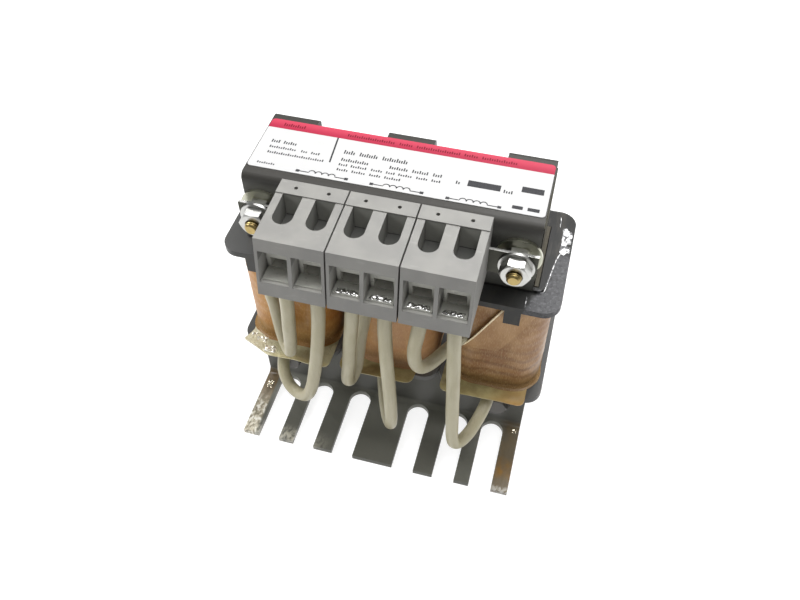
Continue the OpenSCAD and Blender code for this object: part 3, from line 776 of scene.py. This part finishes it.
def curve_through(route, steps=6):
    """Smooth curve through a route: each stretch takes its slopes from the points beside it."""
    points = [Vector(p) for p in route]
    points = [points[0] * 2 - points[1]] + points + [points[-1] * 2 - points[-2]]
    curve = []
    for a, b, c, d in zip(points, points[1:], points[2:], points[3:]):
        for s in range(steps):
            u = s / steps
            curve.append(
                b
                + (c - a) * (u / 2)
                + (a * 2 - b * 5 + c * 4 - d) * (u ** 2 / 2)
                + (b * 3 - a - c * 3 + d) * (u ** 3 / 2)
            )
    curve.append(points[-2])
    return curve


# Leads: the routes of the part's own source, in millimetres, from the terminal clamp to the coil
LEAD_DIAMETER = 5.2
LEAD_ROUTES = (
    (
        (-30.4, -43.5, 108), (-30.4, -43.5, 98), (-30.8, -43.3, 88), (-32.2, -42, 76), (-34.2, -39.5, 62),
        (-36.4, -36.5, 51), (-38.6, -33.5, 45), (-41.2, -30.5, 43.5), (-43.4, -28, 46), (-44.8, -26.6, 54),
        (-45.2, -26.4, 64), (-45.4, -27.2, 72), (-45.4, -26.6, 76.6), (-45.4, -24.9, 78.6),
        (-45.4, -22.6, 78.6),
    ),
    (
        (-18.8, -43.5, 108), (-18.8, -43.5, 98), (-19, -43.6, 88), (-20.3, -43.8, 74), (-23, -43, 56),
        (-27, -41.5, 36), (-31, -39.5, 24), (-36, -37, 19), (-41, -34.5, 19.5), (-44.4, -31.5, 24),
        (-46, -27, 27.2), (-46.2, -23.6, 29.6), (-46.2, -22.4, 32.6), (-46.2, -22.4, 35.4),
    ),
    (
        (-5.8, -43.5, 108), (-5.8, -43.5, 98), (-6.6, -43.4, 88), (-8.6, -42, 72), (-10.6, -40, 56),
        (-12.4, -38.2, 44), (-13, -36.6, 38), (-12.4, -34.4, 36.4), (-11.2, -31.4, 39.5), (-10.8, -28.6, 45),
        (-10, -26.8, 55), (-8.2, -26.4, 66), (-7, -27, 72.5), (-6.4, -26.4, 76.4), (-6, -24.9, 78.4),
        (-6, -22.6, 78.4),
    ),
    (
        (5.8, -43.5, 108), (5.8, -43.5, 98), (5.9, -44.5, 86), (6.3, -45, 70), (6.9, -44.6, 50),
        (7, -43.6, 34), (6.5, -42.2, 22.6), (5.2, -39.6, 16.6), (3.2, -36.4, 16), (1.2, -32.6, 20.4),
        (-0.6, -28, 26), (-1.9, -24.2, 29.4), (-2.6, -22.4, 32.6), (-2.6, -22.4, 35.4),
    ),
    (
        (18.8, -43.5, 108), (18.8, -43.5, 98), (17.8, -44.6, 90), (16.6, -44.4, 80), (16.6, -42.8, 70),
        (18, -40, 63.5), (20.2, -36.6, 61), (22.6, -33, 61), (25, -29.6, 62), (27.2, -27, 63.2),
        (29.2, -24.2, 64), (30.5, -21.5, 64),
    ),
    (
        (30.4, -43.5, 108), (30.4, -43.5, 98), (30.8, -44.6, 88), (31.4, -45, 72), (31.8, -44.6, 54),
        (32.2, -44, 36), (32.7, -43.4, 23), (33.8, -42.4, 17.6), (36, -40.6, 17), (38.8, -37.6, 20.5),
        (41.4, -33, 25.6), (43, -27.6, 28.2), (43.4, -23.9, 29.9), (43.4, -22.4, 32.6), (43.4, -22.4, 35.4),
    ),
)


def lead_sleeve(number, route, finish, sides=20):
    """Sleeved lead, a little uneven in thickness, carried along its route without twist."""
    curve = curve_through(route)
    side = Vector((1, 0, 0))
    rings = []
    for point, heading in zip(curve, headings(curve)):
        side = (side - heading * side.dot(heading)).normalized()
        other = heading.cross(side)
        ring = []
        for angle in angles(sides):
            spoke = side * math.cos(angle) + other * math.sin(angle)
            swell = 1 + 0.03 * noise.noise(point * 0.12 + spoke * 0.8)
            ring.append(point + spoke * (LEAD_DIAMETER / 2 * swell))
        rings.append(ring)
    tube = skin(rings, caps=True)
    make_piece(f"lead_sleeve_{number}", *tube, "lead_sleeve", [finish], [f"lead_{number}"])


# Coils: corner radius of the wraps and points round a loop
COIL_SIDES = ("left", "middle", "right")
WRAP_RADIUS = 12
LOOP_POINTS = 144

# Insulation collars: hole round the hub, as distance in from the wrap and corner radius, and corners as they
# show, from the front left round to the rear left, each with its radius
HUB_INSET = 4.4
HUB_RADIUS = 4
COLLAR_CORNERS = {
    "left": (
        (-62.6, -27.6, 0.8), (-50.5, -31.8, 5), (-23.4, -32.2, 3),
        (-23.4, 31, 9), (-60.8, 31, 9), (-60.6, -21.5, 1.5),
    ),
    "middle": ((-19.5, -31.2, 4), (11.8, -30.8, 4), (19.5, 31, 9), (-19.5, 31, 9)),
    "right": ((23.4, -30.4, 3), (58.2, -29.6, 3), (58.4, 31, 9), (23.4, 31, 9)),
}


def banded_wrap(side, finish):
    """Wrap with the swell of the wire layers showing through, closed inside by the winding's outline."""
    low, high = box_mm(f"coil_wrap_{side}")
    inner_low, inner_high = box_mm(f"winding_{side}")
    outer = box_loop(low, high, WRAP_RADIUS, LOOP_POINTS)
    ways = outward(outer)
    thickness = inner_low.x - low.x
    inner = box_loop(inner_low, inner_high, WRAP_RADIUS - thickness, LOOP_POINTS)
    rows = 72
    rings = []
    for k in range(rows + 1):
        z = low.z + (high.z - low.z) * k / rows
        ring = []
        for point, way in zip(outer, ways):
            sample = Vector((point.x, point.y, z))
            drift = 5 * noise.noise(sample * 0.03)
            layer = math.sin((z + drift) * 2 * math.pi / LAYER_PITCH)
            swell = 0.05 * layer + 0.2 * noise.noise(sample * 0.09) - 0.16
            ring.append((*(point + way * swell), z))
        rings.append(ring)
    rings.append([(*point, high.z) for point in inner])
    rings.append([(*point, low.z) for point in inner])
    shell = skin(rings, round_trip=True)
    make_piece(f"banded_wrap_{side}", *shell, "amber_wrap", [finish], [f"coil_wrap_{side}"], sharp=60)


def loose_wrap_end(finish, edge):
    """Last turn of paper on the right coil: cut on the slant and standing a little off the coil."""
    low, high = box_mm("coil_wrap_right")
    middle = (low.x + high.x) / 2
    flat = (high.x - low.x) / 2 - WRAP_RADIUS
    foot, head = Vector((30.4, 59.5)), Vector((45.2, high.z - 0.4))
    width, thickness = 14, 0.6
    rows, columns = 24, 20

    def front(x):
        past = max(abs(x - middle) - flat, 0)
        return low.y + WRAP_RADIUS - math.sqrt(max(WRAP_RADIUS ** 2 - past ** 2, 0))

    outer, inner = [], []
    for r in range(rows + 1):
        v = r / rows
        start = foot.lerp(head, v)
        for c in range(columns + 1):
            u = c / columns
            x = start.x + width * u
            lift = 0.12 + (1 + 0.35 * math.sin(v * 5)) * (1 - u) ** 2.2
            outer.append((x, front(x) - lift - thickness * (1 - u * 0.9), start.y))
            inner.append((x, front(x) - lift * (1 - u), start.y))
    above, below, sides = slab_faces(rows, columns)
    cut = [1 if n % columns == 0 else 0 for n in range(len(above))] + [0] * len(below)
    cut += [1] * columns + [0] * (rows + columns) + [1] * rows
    faces = above + below + sides
    make_piece("loose_wrap_end", outer + inner, faces, "amber_wrap", [finish, edge], numbers=cut)


def bent_collar(side, finish):
    """Insulation sheet, flat under its coil and wavy past the flange; the left one has a curled corner."""
    low, high = box_mm(f"insulation_collar_{side}")
    wrap_low, wrap_high = box_mm(f"coil_wrap_{side}")
    flange_front = box_mm(f"bobbin_{side}")[0].y
    thickness = high.z - low.z
    inset = Vector((HUB_INSET, HUB_INSET))
    hub = box_loop(wrap_low.to_2d() + inset, wrap_high.to_2d() - inset, HUB_RADIUS, LOOP_POINTS)
    outer = rounded_loop(COLLAR_CORNERS[side], LOOP_POINTS)
    start = min(range(LOOP_POINTS), key=lambda k: abs(outer[k].x - hub[0].x) + outer[k].y)
    outer = outer[start:] + outer[:start]
    steps = 14
    tops = []
    for s in range(steps + 1):
        ring = []
        for a, b in zip(hub, outer):
            point = a.lerp(b, s / steps)
            past_front = max(flange_front - point.y, 0)
            wave = 0.5 * noise.noise(Vector((point.x, point.y, 0)) * 0.09) * min(past_front, 2)
            curl = 1.3 * held((-52 - point.x) / 10) * held((-20 - point.y) / 8) if side == "left" else 0
            ring.append((point.x, point.y, high.z + wave + curl))
        tops.append(ring)
    bottoms = [[(x, y, z - thickness) for x, y, z in ring] for ring in reversed(tops)]
    sheet = skin(tops + bottoms, round_trip=True)
    make_piece(f"bent_collar_{side}", *sheet, "olive_collar", [finish], [f"insulation_collar_{side}"])


def coil_foot_varnish(side, finish):
    """Bead of varnish in the corner between a coil and its collar, running out along the coil's sides."""
    low, high = box_mm(f"coil_wrap_{side}")
    loop = box_loop(low, high, WRAP_RADIUS, LOOP_POINTS)
    ways = outward(loop)
    section = ((-0.6, 1.9), (-0.1, 1.5), (0.15, 0.9), (0.6, 0.4), (1.1, 0.15), (1.7, 0.03), (-0.6, 0.02))
    rings = []
    for out, up in section:
        ring = []
        for point, way in zip(loop, ways):
            size = 1 + 0.4 * noise.noise(Vector((point.x, point.y, 3)) * 0.12)
            size *= held((-8 - point.y) / 8, 0.1)
            ring.append((*(point + way * (out * size if out > 0 else out)), low.z + up * size))
        rings.append(ring)
    make_piece(f"coil_foot_varnish_{side}", *skin(rings, round_trip=True), "amber_wrap", [finish])


# Thread on the upper bolts: chamfer at the ends, pitch, and section as steps out from the shank and along it
BOLT_CHAMFER = 0.65
THREAD_PITCH = 0.79
THREAD_SECTION = ((-0.1, 0.0), (0, 0.08), (0.16, 0.36), (0.16, 0.46), (0, 0.74), (-0.1, THREAD_PITCH))


def bolt_thread(name, side, finish):
    """Thread on the front end of an upper bolt, as a ridge wound round the shank; side is -1 or 1."""
    end = box_mm("upper_clamp_bolts")[0].y + BOLT_CHAMFER
    steps = 36
    turns = (nuts_low.y - end) / THREAD_PITCH - 0.6
    rings = []
    for k in range(int(turns * steps) + 1):
        angle = 2 * math.pi * k / steps
        y = nuts_low.y - THREAD_PITCH * k / steps
        spoke = Vector((math.cos(angle), 0, math.sin(angle)))
        ring = []
        for out, along in THREAD_SECTION:
            point = spoke * (SHANK_RADIUS + out)
            ring.append((side * BOLT_X + point.x, y - along, BOLT_Z + point.z))
        rings.append(ring)
    make_piece(name, *skin(rings, caps=True), "brass_bolt", [finish], sharp=25)


# Print on the label: coil signs as middle and row, bars as start, end, row and half height, and rows of
# strokes as start, row, half height and word lengths
INK_RISE = 0.03
DIVIDER = (Vector((-24.6, -5)), Vector((-25.7, BAND_EDGE)))
DIVIDER_HALF = 0.3
SIGN_HALF = 0.2
SIGN_END = Vector((1.3, 0))
SIGN_END_HALF = 0.6
WORD_GAP = 1.4
STROKE_STEP = 0.85
STROKE_HALF = 0.24
COIL_SIGNS = ((-25.2, -11.9), (1.6, -12), (28.3, -12.2))
LABEL_BARS = (
    (24.6, 36, -3.2, 1.5),
    (43, 50.6, -1.6, 1.4),
    (41.2, 44.8, -10.8, 0.8),
    (46.4, 50.4, -10.8, 0.8),
)
LABEL_ROWS = (
    (-48.2, 1.2, 0.8, (3.2, 4.8)),
    (-47.9, -1.9, 0.6, (10.5, 2.4, 3.2)),
    (-47.6, -4.9, 0.6, (21,)),
    (-49.2, -10.9, 0.5, (6.4,)),
    (-21, 1.7, 1, (4.4, 7, 9.6)),
    (-20.8, -2.4, 0.8, (10.5,)),
    (-3.2, -2.2, 0.8, (6.8, 6, 3.4)),
    (-20.9, -5.1, 0.6, (3, 6, 4, 3, 5, 4, 3)),
    (-20.8, -7.7, 0.6, (4, 5, 4, 6)),
    (20.8, -3.8, 0.8, (1.8,)),
    (37.4, -4.2, 0.8, (3.2,)),
    (-47, 10.9, 0.8, (8.5,)),
    (-22.5, 10.8, 0.7, (18, 5, 16, 5, 13)),
)


def ribbon(path, half_width, top):
    """Flat strip of ink along a path on the label, with its points and faces."""
    over, under = top + INK_RISE, top - INK_RISE
    rings = []
    for point, along in zip(path, headings(path)):
        aside = Vector((-along.y, along.x)) * half_width
        left, right = point + aside, point - aside
        rings.append([(*left, over), (*right, over), (*right, under), (*left, under)])
    return skin(rings, caps=True)


def coil_sign(middle, row):
    """Path of a coil sign: half rounds in a row with a straight tail at each end."""
    turn, tail = 1.2, 3.4
    bows, steps = 4, 8
    path = [Vector((middle - bows * turn - tail, row))]
    for bow in range(bows):
        centre = middle + (2 * bow - bows + 1) * turn
        for step in range(steps + 1):
            angle = math.pi * (1 - step / steps)
            path.append(Vector((centre + turn * math.cos(angle), row + turn * math.sin(angle))))
    return path + [Vector((middle + bows * turn + tail, row))]


def word_strokes(start, row, half, length):
    """Paths of the upright strokes that stand for a word of print, every third one taller."""
    paths = []
    for k in range(max(1, round(length / STROKE_STEP))):
        x = start + k * STROKE_STEP
        paths.append([Vector((x, row - half)), Vector((x, row + half * (1 if k % 3 == 0 else 0.4)))])
    return paths


def label_print(top, ink, band_ink):
    """Rows of strokes and plain bars where a label has its print, with a divider and three coil signs."""
    on_white, on_band = [ribbon(DIVIDER, DIVIDER_HALF, top)], []
    for middle, row in COIL_SIGNS:
        path = coil_sign(middle, row)
        on_white.append(ribbon(path, SIGN_HALF, top))
        for end, tip in ((path[0], path[0] - SIGN_END), (path[-1], path[-1] + SIGN_END)):
            on_white.append(ribbon([end, tip], SIGN_END_HALF, top))
    for start, end, row, half in LABEL_BARS:
        on_white.append(ribbon([Vector((start, row)), Vector((end, row))], half, top))
    for start, row, half, words in LABEL_ROWS:
        for length in words:
            strokes = [ribbon(path, STROKE_HALF, top) for path in word_strokes(start, row, half, length)]
            (on_band if row > BAND_EDGE else on_white).extend(strokes)
            start += length + WORD_GAP
    for name, ribbons, finish in (("label_print", on_white, ink), ("label_band_print", on_band, band_ink)):
        points, faces = [], []
        for strip_points, strip_faces in ribbons:
            faces += [tuple(len(points) + k for k in face) for face in strip_faces]
            points += strip_points
        make_piece(name, points, faces, "label_face", [finish])


# Varnish on the upper right flange, whose top lies below the hub's rim, its near-white colour a painted
# highlight:
# beads as name, radius and points, and the field of a drip beside them
HUB_RIM = 1.3
FLANGE_BEADS = (
    (
        "flange_varnish_bead", 0.35,
        ((60.6, 5), (59.2, 0.2), (58.1, -8.4), (57.2, -15.6), (56.4, -16.7), (54.8, -16.9)),
    ),
    ("hub_varnish_bead", 0.3, ((57.9, 23), (58.2, 20.4), (58.2, 17.6))),
    ("edge_varnish_bead", 0.25, ((51.5, -19.8), (51.6, -21.4), (51.6, -23.2), (51.7, -24.9))),
)
FLANGE_DRIP = ((59.4, 2.6), (63.7, 18.6))

# Varnish on the left collar's corner, near white as painted highlights, as fields and their heights
COLLAR_GLINTS = (
    (((-61, -25), (-57.8, -22.4)), 36.4),
    (((-58, -26.6), (-53, -23.6)), 36.3),
    (((-53, -30.6), (-47.8, -27)), 36.1),
)

# Drops of varnish on the outer feet, as fields on top of the sheet
SHEET_THICKNESS = 2.5
FOOT_DROPS = {"left": ((-57.6, -28), (-54.4, -23.4)), "right": ((55.6, -23), (57.8, -20.6))}

# Rumpled tin on the clamp lips from the third pole on: half width, front and rear from the cages' front, and
# thickness of a lip
FIRST_TINNED = 3
TIN_HALF = 4.2
TIN_FRONT, TIN_REAR = 0.1, 2.6
LIP_THICKNESS = 0.8


def varnish_bead(name, path, radius, finish, sides=10):
    """Raised line of varnish along a path, uneven in width."""
    curve = curve_through(path, 8)
    rings = []
    for k, (point, heading) in enumerate(zip(curve, headings(curve))):
        aside = heading.cross(Vector((0, 0, 1))).normalized()
        share = k / (len(curve) - 1)
        taper = min(1, 0.2 + 6 * share, 0.2 + 6 * (1 - share))
        width = radius * (0.7 + 0.6 * noise.noise(point * 0.4)) * taper
        ring = []
        for angle in angles(sides):
            up = Vector((0, 0, 0.6 * width * math.sin(angle)))
            ring.append(point + aside * (width * math.cos(angle)) + up)
        rings.append(ring)
    make_piece(name, *skin(rings, caps=True), "black_bobbin", [finish])


def rumpled_sheet(name, slot, field, level, rise, size, finish):
    """Thin patch over a field, with lumps about size across, tapering to nothing at its uneven edge."""
    low, high = (Vector(corner) for corner in field)
    columns, rows = 48, 28
    tops, floor = [], []
    for r in range(rows + 1):
        for c in range(columns + 1):
            u, v = c / columns, r / rows
            x, y = low.x + (high.x - low.x) * u, low.y + (high.y - low.y) * v
            lump = noise.noise(Vector((x, y, level)) / size)
            inside = min(1, 8 * u, 8 * (1 - u), 5 * v, 5 * (1 - v)) - 0.35 + 0.5 * lump
            tops.append((x, y, level + max(-0.04, rise * (0.6 + lump) * held(inside) - 0.02)))
            floor.append((x, y, level - 0.06))
    above, below, sides = slab_faces(rows, columns)
    make_piece(name, tops + floor, above + below + sides, slot, [finish], sharp=80)


# Light and floor: strength of the air that lights the part and of the air that the camera sees, and half the
# floor's width in metres
AMBIENT = 0.16
BACKDROP = 0.84
FLOOR_HALF = 12


def soft_light(name, place, aim, width, height, watts):
    """Area light at a place, turned to what it aims at, in metres, and hidden from the camera."""
    lamp = bpy.data.lights.new(name, "AREA")
    lamp.shape = "RECTANGLE"
    lamp.size = width
    lamp.size_y = height
    lamp.energy = watts
    light = bpy.data.objects.new(name, lamp)
    light.location = place
    light.rotation_euler = (Vector(aim) - Vector(place)).to_track_quat("-Z", "Y").to_euler()
    light.visible_camera = False
    bpy.context.scene.collection.objects.link(light)


def make_studio():
    """Dim air with a pale backdrop for the camera, soft lights and a pale floor."""
    world = bpy.data.worlds.new("studio")
    world.use_nodes = True
    nodes, links = world.node_tree.nodes, world.node_tree.links
    backdrop, ambient = nodes.new("ShaderNodeBackground"), nodes["Background"]
    for air, strength in ((ambient, AMBIENT), (backdrop, BACKDROP)):
        air.inputs["Color"].default_value = (1, 1, 1, 1)
        air.inputs["Strength"].default_value = strength
    seen_straight = nodes.new("ShaderNodeLightPath").outputs["Is Camera Ray"]
    blend = nodes.new("ShaderNodeMixShader")
    for source, socket in zip((seen_straight, ambient.outputs[0], backdrop.outputs[0]), blend.inputs):
        links.new(source, socket)
    links.new(blend.outputs[0], nodes["World Output"].inputs["Surface"])
    bpy.context.scene.world = world
    bpy.context.scene.view_settings.view_transform = "Standard"
    soft_light("overhead_softbox", (0.15, 0.2, 1.0), (0, 0, 0), 1.2, 1.2, 18)
    soft_light("rear_softbox", (0.1, 0.62, 0.86), (0.03, 0, 0.08), 0.36, 0.26, 2)
    soft_light("left_fill", (-0.8, -0.2, 0.75), (-0.03, -0.03, 0.04), 0.4, 0.4, 6)
    soft_light("glint_lamp", (0.12, 0.42, 0.75), (0.02, 0, 0.08), 0.12, 0.07, 1)
    soft_light("left_glint_lamp", (-0.376, 0.511, 0.764), (-0.05, -0.02, 0.08), 0.1, 0.07, 0.3)
    mesh = bpy.data.meshes.new("studio_floor")
    corners = [(FLOOR_HALF * x, FLOOR_HALF * y, 0) for x, y in ((-1, -1), (1, -1), (1, 1), (-1, 1))]
    mesh.from_pydata(corners, [], [(0, 1, 2, 3)])
    mesh.materials.append(floor_finish())
    floor = bpy.data.objects.new("studio_floor", mesh)
    bpy.context.scene.collection.objects.link(floor)


def dress(finishes):
    """Puts each slot's finish on the nodes that keep their own shape."""
    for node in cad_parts.values():
        for slot in node.material_slots:
            name = slot.material.name.split(".")[0] if slot.material else ""
            if name in finishes:
                slot.material = finishes[name]


make_camera()

sleeve = lead_sleeve_finish()
for number, route in enumerate(LEAD_ROUTES, 1):
    lead_sleeve(number, route, sleeve)

wrap = amber_wrap_finish()
collar = collar_finish()
for side in COIL_SIDES:
    banded_wrap(side, wrap)
    bent_collar(side, collar)
    coil_foot_varnish(side, wrap)
loose_wrap_end(amber_wrap_finish("loose_coil_paper", 0.25), paper_edge_finish())

flange_top = box_mm("bobbin_right")[1].z - HUB_RIM
# Painted highlights: the drip and the beads on the upper right flange take the near-white varnish finish.
drip = highlight_varnish_finish()
rumpled_sheet("flange_varnish_highlight", "black_bobbin", FLANGE_DRIP, flange_top, rise=0.5, size=2.2, finish=drip)
for name, radius, bead in FLANGE_BEADS:
    varnish_bead(name, [Vector((x, y, flange_top)) for x, y in bead], radius, drip)

glint = white_glint_finish()
for number, (field, level) in enumerate(COLLAR_GLINTS, 1):
    name = f"collar_varnish_glint_{number}"
    rumpled_sheet(name, "olive_collar", field, level, rise=1.1, size=1.1, finish=glint)

drops = amber_drop_finish()
for side, field in FOOT_DROPS.items():
    name = f"foot_varnish_drops_{side}"
    rumpled_sheet(name, "black_bracket", field, SHEET_THICKNESS, rise=0.9, size=0.9, finish=drops)

lip_low = box_mm("clamp_cages_middle")[0]
tin = bright_tin_finish()
for number, pole in enumerate((-POLES[0], *POLES), FIRST_TINNED):
    field = (pole - TIN_HALF, lip_low.y + TIN_FRONT), (pole + TIN_HALF, lip_low.y + TIN_REAR)
    lip_top = lip_low.z + LIP_THICKNESS
    rumpled_sheet(f"tinned_lip_{number}", "tinned_cage", field, lip_top, rise=0.7, size=1.1, finish=tin)

black_ink = ink_finish("black_label_ink", paint(52, 52, 54))
red_ink = ink_finish("red_label_ink", paint(104, 22, 38))
label_print(label_high.z, black_ink, red_ink)

yellow_bolt = brass_bolt_finish()
bolt_thread("bolt_thread_left", -1, yellow_bolt)
bolt_thread("bolt_thread_right", 1, yellow_bolt)

dress({
    "core_steel": core_steel_finish(),
    "gap_fibre": fibre_finish(),
    "black_bobbin": black_bobbin_finish(),
    "winding_wire": wire_finish(),
    "black_bracket": black_bracket_finish(),
    "label_face": label_finish(),
    "zinc_plate": zinc_finish(),
    "grey_block": block_finish(),
    "tinned_cage": cage_finish(),
    "dark_screw": screw_finish(),
    "brass_bolt": yellow_bolt,
    "black_bolt": black_bolt_finish(),
})

make_studio()
